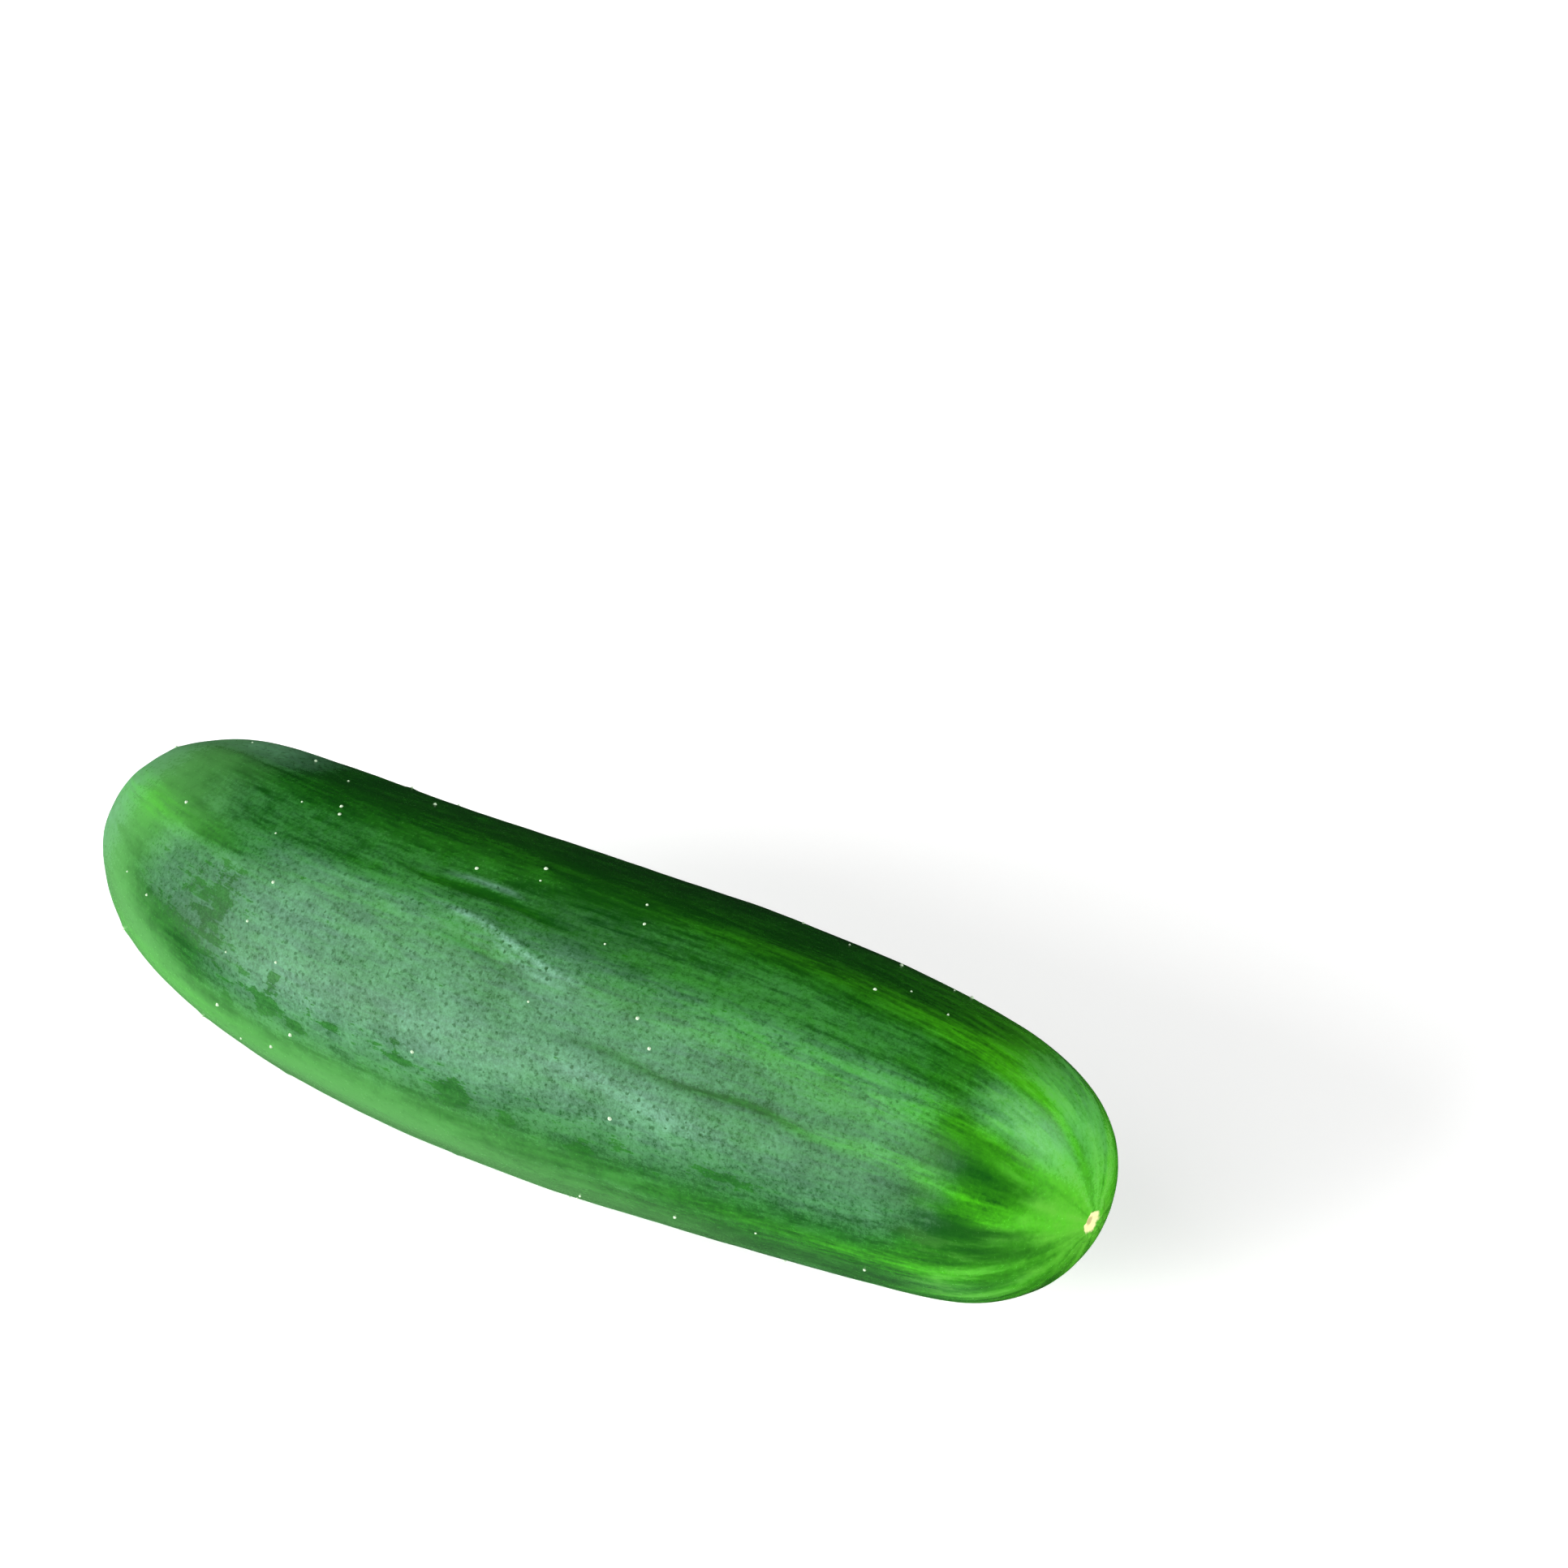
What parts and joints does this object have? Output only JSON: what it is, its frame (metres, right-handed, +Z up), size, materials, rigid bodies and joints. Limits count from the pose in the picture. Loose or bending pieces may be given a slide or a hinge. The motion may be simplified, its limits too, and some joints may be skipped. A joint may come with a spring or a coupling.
{
  "type": "cucumber",
  "caption": "Whole slicing cucumber lying on its side: a slightly bowed fruit with low ribs, small warts, a blossom scar at one end and a short stem stub at the other.",
  "frame": {"origin": "on the surface the fruit rests on, under the centre of its bounding box", "axes": "+X along the fruit towards its blossom end, +Z up, -Y towards the side it bows to"},
  "size_m": [0.186, 0.0584, 0.0514],
  "materials": {
    "skin": "waxy semi-gloss skin, dark green with lighter streaks towards the blossom end"
  },
  "bodies": {
    "root": {"cucumber": "skin"}
  },
  "joints": []
}
